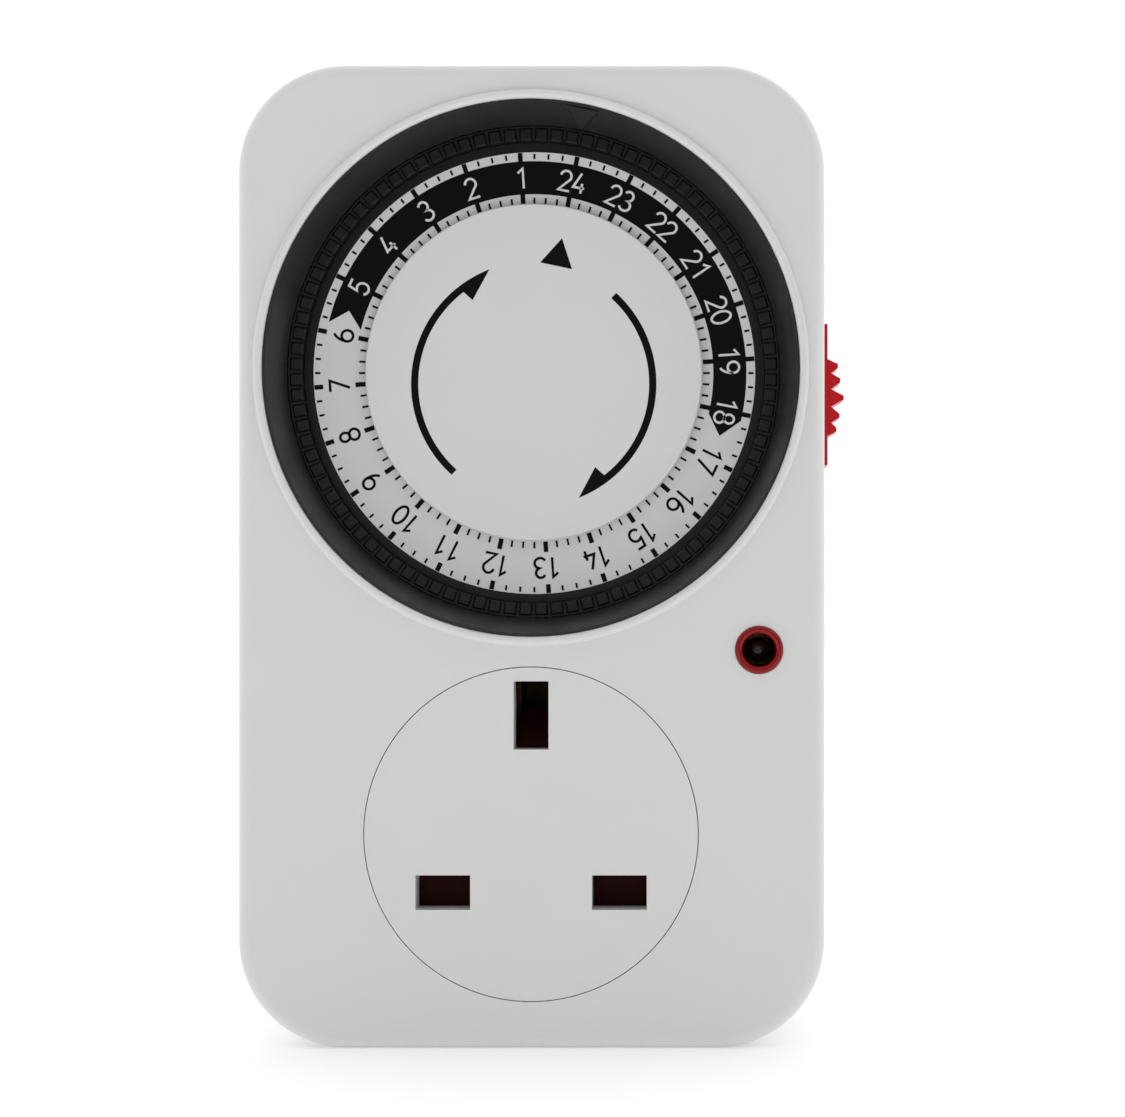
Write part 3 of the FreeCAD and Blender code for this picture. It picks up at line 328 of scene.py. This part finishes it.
def ribbon(path, width, closed=False):
    """Quads of a stroke of even width along a path, with mitred corners."""
    points = [Vector(p) for p in path]
    count = len(points)
    edges = []
    for i, point in enumerate(points):
        before = points[i - 1] if closed or i else None
        after = points[(i + 1) % count] if closed or i < count - 1 else None
        ways = [(b - a).normalized() for a, b in ((before, point), (point, after)) if a and b]
        way = sum(ways, Vector((0, 0))).normalized()
        side = Vector((-way.y, way.x))
        stretch = 1 / max(0.5, way.dot(ways[0]))
        edges.append((point + side * width / 2 * stretch, point - side * width / 2 * stretch))
    faces = []
    for i in range(count if closed else count - 1):
        (left, right), (next_left, next_right) = edges[i], edges[(i + 1) % count]
        faces.append([left, right, next_right, next_left])
    return faces


def tick(radii, degrees, width):
    """A radial bar between two radii."""
    inner, outer = (Vector(polar(r, degrees)) for r in radii)
    return ribbon([inner, outer], width)


def arc(cx, cy, rx, ry, start, end, steps=14):
    """Points on an ellipse; degrees run counter-clockwise from +x."""
    turn = [math.radians(start + (end - start) * i / steps) for i in range(steps + 1)]
    return [(cx + rx * math.cos(a), cy + ry * math.sin(a)) for a in turn]


def loop(cx, cy, rx, ry):
    """A whole ellipse, to be closed."""
    return arc(cx, cy, rx, ry, 90, 450, 24)[:-1]


def six():
    """The bowl, and the stem that sweeps from its left side to the top."""
    sweep = [math.radians(d) for d in range(0, 76, 7)]
    stem = [(0.42 - 0.42 * math.cos(a), 0.30 + 0.70 * math.sin(a)) for a in sweep]
    return [(loop(0.28, 0.29, 0.28, 0.29), True), (stem, False)]


# strokes of each digit in a box 0.56 wide and 1 high: (points, closed)
GLYPH_W = 0.56
GLYPH_GAP = 0.16
GLYPHS = {
    "0": [(loop(0.28, 0.5, 0.28, 0.5), True)],
    "1": [([(0.10, 0.78), (0.36, 1.0), (0.36, 0.0)], False)],
    "2": [(arc(0.28, 0.72, 0.27, 0.28, 172, -28) + [(0.0, 0.0), (0.56, 0.0)], False)],
    "3": [(arc(0.26, 0.755, 0.235, 0.245, 155, -90) + arc(0.26, 0.26, 0.28, 0.26, 78, -155), False)],
    "4": [([(0.32, 1.0), (0.0, 0.27), (0.56, 0.27)], False), ([(0.42, 0.50), (0.42, 0.0)], False)],
    "5": [([(0.50, 1.0), (0.10, 1.0), (0.05, 0.54)] + arc(0.26, 0.31, 0.28, 0.31, 118, -150), False)],
    "6": six(),
    "7": [([(0.0, 1.0), (0.56, 1.0), (0.16, 0.0)], False)],
    "8": [(loop(0.28, 0.75, 0.225, 0.25), True), (loop(0.28, 0.26, 0.28, 0.26), True)],
    "9": [([(GLYPH_W - x, 1 - y) for x, y in points], closed) for points, closed in six()],
}


def numeral(text, degrees, stroke):
    """Faces of a number whose top points outwards."""
    half = (len(text) * GLYPH_W + (len(text) - 1) * GLYPH_GAP) / 2
    out = Vector(polar(1, degrees))
    across = Vector((out.y, -out.x))
    faces = []
    for place, character in enumerate(text):
        left = place * (GLYPH_W + GLYPH_GAP) - half
        for points, closed in GLYPHS[character]:
            path = []
            for x, y in points:
                path.append(out * (DIGIT_R + (y - 0.5) * DIGIT_H) + across * (left + x) * DIGIT_H)
            faces += ribbon(path, stroke, closed)
    return faces


def night_band():
    """The black band from the swallow tail after 5 to the arrow head after 18, through midnight."""
    inner_r, outer_r = BAND_R
    middle_r = (inner_r + outer_r) / 2
    tail = hour_angle(TAIL_NOTCH)
    head = hour_angle(HEAD_SHOULDER) + 360
    steps = 120
    rows = []
    for i in range(steps + 1):
        degrees = tail + (head - tail) * i / steps
        rows.append([polar(r, degrees) for r in (inner_r, middle_r, outer_r)])
    faces = []
    for (a, b, c), (d, e, f) in zip(rows, rows[1:]):
        faces += [[a, b, e, d], [b, c, f, e]]
    inner, notch, outer = rows[0]
    tips = hour_angle(TAIL_POINTS)
    faces += [[inner, notch, polar(inner_r, tips)], [notch, outer, polar(outer_r, tips)]]
    inner, middle, outer = rows[-1]
    point = polar(middle_r, hour_angle(HEAD_TIP))
    faces += [[inner, middle, point], [middle, outer, point]]
    return faces


def quarter_ticks():
    """Marks on both edges of the ring, bold on the hour."""
    faces = []
    for i in range(QUARTERS):
        degrees = NOW + 360 / QUARTERS * i
        on_hour = i % (QUARTERS // HOURS) == 0
        width = HOUR_TICK_W if on_hour else QUARTER_TICK_W
        faces += tick(HOUR_OUTER if on_hour else MINOR_OUTER, degrees, width)
        faces += tick(HOUR_INNER if on_hour else MINOR_INNER, degrees, width)
    return faces


def numbers(hours, stroke):
    """The faces of a run of hour numbers."""
    return [face for hour in hours for face in numeral(str(hour), hour_angle(hour), stroke)]


DAY = range(6, 18)
NIGHT = [*range(18, HOURS + 1), *range(1, 6)]
film("scale_night_band", night_band(), disc_low.y, "dial", BLACK_INK)
film("scale_ticks", quarter_ticks(), disc_low.y, "dial", BLACK_INK, depth=1.5 * FILM)
film("scale_day_numbers", numbers(DAY, DAY_STROKE), disc_low.y, "dial", BLACK_INK)
film("scale_night_numbers", numbers(NIGHT, NIGHT_STROKE), disc_low.y, "dial", WHITE_INK,
     depth=2 * FILM)


def direction_arrow(start, neck, tip):
    """A clockwise arc about a point just below the middle, ending in a head with one barb, inwards."""
    centre = Vector((0, -ARROW_DROP))
    outer_r = ARROW_R + ARROW_W / 2
    steps = 48
    head_steps = 8
    barb_at = neck + 1.2

    def at(r, degrees):
        """A point about the arrows' own centre."""
        return centre + Vector(polar(r, degrees))

    shaft = [at(ARROW_R, start + (neck - start) * i / steps) for i in range(steps + 1)]
    barb = at(BARB_R, barb_at)
    point = at(outer_r, tip)
    neck_in = at(ARROW_R - ARROW_W / 2, neck)
    neck_out = at(outer_r, neck)
    rim = [at(outer_r, barb_at + (tip - barb_at) * i / head_steps) for i in range(head_steps + 1)]
    keel = [barb.lerp(point, i / head_steps) for i in range(head_steps + 1)]
    head = [[a, b, d, c] for a, b, c, d in zip(rim, rim[1:], keel, keel[1:])]
    return ribbon(shaft, ARROW_W) + [[neck_in, neck_out, rim[0], barb]] + head


def now_triangle():
    """The solid triangle on the middle disc that points at the present time."""
    out = Vector(polar(1, NOW + NOW_LEAN))
    across = Vector((out.y, -out.x))
    base = out * NOW_BASE_R
    return [[base - across * NOW_HALF_W, base + across * NOW_HALF_W, out * NOW_TIP_R]]


marks = now_triangle() + direction_arrow(222.0, 322.6, 338.8) + direction_arrow(42.2, 142.4, 158.4)
film("centre_marks", marks, middle_low.y, "case", BLACK_INK)


# ---------------------------------------------------------------- set, light and camera
def floor():
    """A wide pale floor, a little luminous so that it fades into the surround."""
    half_size = 4.0
    data = bpy.data.meshes.new("floor")
    mesh = bmesh.new()
    bmesh.ops.create_grid(mesh, x_segments=8, y_segments=8, size=half_size)
    mesh.to_mesh(data)
    mesh.free()
    piece = bpy.data.objects.new("floor", data)
    bpy.context.scene.collection.objects.link(piece)
    data.materials.append(moulded("floor_white", (0.90, 0.90, 0.90), 0.9, mottle=0.004,
                                  Emission_Color=(1, 1, 1, 1), Emission_Strength=0.24))


def surround(front, side, back, seen):
    """A soft white surround, dim behind the camera and brightest behind the timer; seen pure white."""
    world = bpy.data.worlds.new("surround")
    world.use_nodes = True
    tree = world.node_tree
    way = tree.nodes.new("ShaderNodeTexCoord")
    split = tree.nodes.new("ShaderNodeSeparateXYZ")
    tree.links.new(way.outputs["Generated"], split.inputs["Vector"])
    level = None
    halves = ((-1.0, 0.0, front, side), (0.0, 1.0, 0.0, back - side))
    for start, end, low, high in halves:
        fade = tree.nodes.new("ShaderNodeMapRange")
        for socket, value in (("From Min", start), ("From Max", end), ("To Min", low), ("To Max", high)):
            fade.inputs[socket].default_value = value
        tree.links.new(split.outputs["Y"], fade.inputs["Value"])
        if level is None:
            level = fade.outputs["Result"]
        else:
            total = tree.nodes.new("ShaderNodeMath")
            tree.links.new(level, total.inputs[0])
            tree.links.new(fade.outputs["Result"], total.inputs[1])
            level = total.outputs["Value"]
    path = tree.nodes.new("ShaderNodeLightPath")
    mix = tree.nodes.new("ShaderNodeMapRange")
    mix.inputs["To Max"].default_value = seen
    tree.links.new(path.outputs["Is Camera Ray"], mix.inputs["Value"])
    tree.links.new(level, mix.inputs["To Min"])
    tree.links.new(mix.outputs["Result"], tree.nodes["Background"].inputs["Strength"])
    tree.nodes["Background"].inputs["Color"].default_value = (1, 1, 1, 1)
    bpy.context.scene.world = world


def sky(power, spread):
    """An even soft light from overhead, so that the floor is as white as the surround."""
    data = bpy.data.lights.new("sky", "SUN")
    data.energy = power
    data.angle = math.radians(spread)
    lamp = bpy.data.objects.new("sky", data)
    bpy.context.scene.collection.objects.link(lamp)


FACE_Y = -21 * MM
VIEW_DISTANCE = 335 * MM
VIEW_X = 20 * MM
VIEW_Z = 54 * MM
LENS = 85.2
SENSOR = 36.0
SHIFT = (-0.1133, 0.0544)


def camera():
    """Level with the timer's lower half and a little to its right, the frame shifted back onto it."""
    data = bpy.data.cameras.new("camera")
    data.lens = LENS
    data.sensor_width = SENSOR
    data.shift_x, data.shift_y = SHIFT
    data.clip_start = 0.01
    piece = bpy.data.objects.new("camera", data)
    piece.location = (VIEW_X, FACE_Y - VIEW_DISTANCE, VIEW_Z)
    piece.rotation_euler = (math.pi / 2, 0, 0)
    bpy.context.scene.collection.objects.link(piece)
    bpy.context.scene.camera = piece


floor()
surround(front=0.16, side=0.92, back=1.2, seen=1.05)
sky(power=0.6, spread=120)
camera()
bpy.context.scene.view_settings.view_transform = "Standard"
